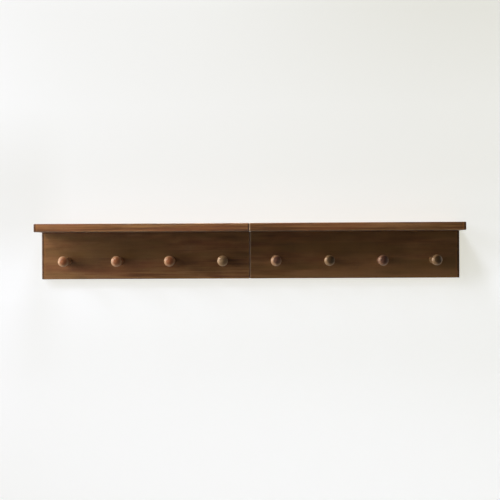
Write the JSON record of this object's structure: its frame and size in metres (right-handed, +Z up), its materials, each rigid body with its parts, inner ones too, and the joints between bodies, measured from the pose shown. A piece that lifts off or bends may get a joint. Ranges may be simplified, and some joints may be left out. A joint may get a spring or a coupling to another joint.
{
  "type": "wall peg rail with shelf",
  "caption": "Wall shelf of dark stained wood over a row of turned mushroom-headed pegs, in equal sections that hang end to end on keyhole hangers.",
  "frame": {"origin": "on the wall plane, at the middle of the line of the hangers' entry holes, in the seam between the sections", "axes": "+X along the wall to the right as seen from the room, -Y from the wall into the room, +Z up"},
  "size_m": [1.0004, 0.1, 0.131],
  "materials": {
    "board_wood": "satin",
    "peg_wood": "satin",
    "dowel_wood": "raw",
    "hanger_steel": "zinc plated",
    "screw_steel": "zinc plated"
  },
  "bodies": {
    "root": {"left_shelf_board": "board_wood", "left_rail_board": "board_wood", "left_dowels": "dowel_wood", "left_peg_1": "peg_wood", "left_peg_2": "peg_wood", "left_peg_3": "peg_wood", "left_peg_4": "peg_wood", "left_outer_hanger": "hanger_steel", "left_inner_hanger": "hanger_steel", "left_hanger_screws": "screw_steel", "right_shelf_board": "board_wood", "right_rail_board": "board_wood", "right_dowels": "dowel_wood", "right_peg_1": "peg_wood", "right_peg_2": "peg_wood", "right_peg_3": "peg_wood", "right_peg_4": "peg_wood", "right_outer_hanger": "hanger_steel", "right_inner_hanger": "hanger_steel", "right_hanger_screws": "screw_steel"}
  },
  "joints": []
}
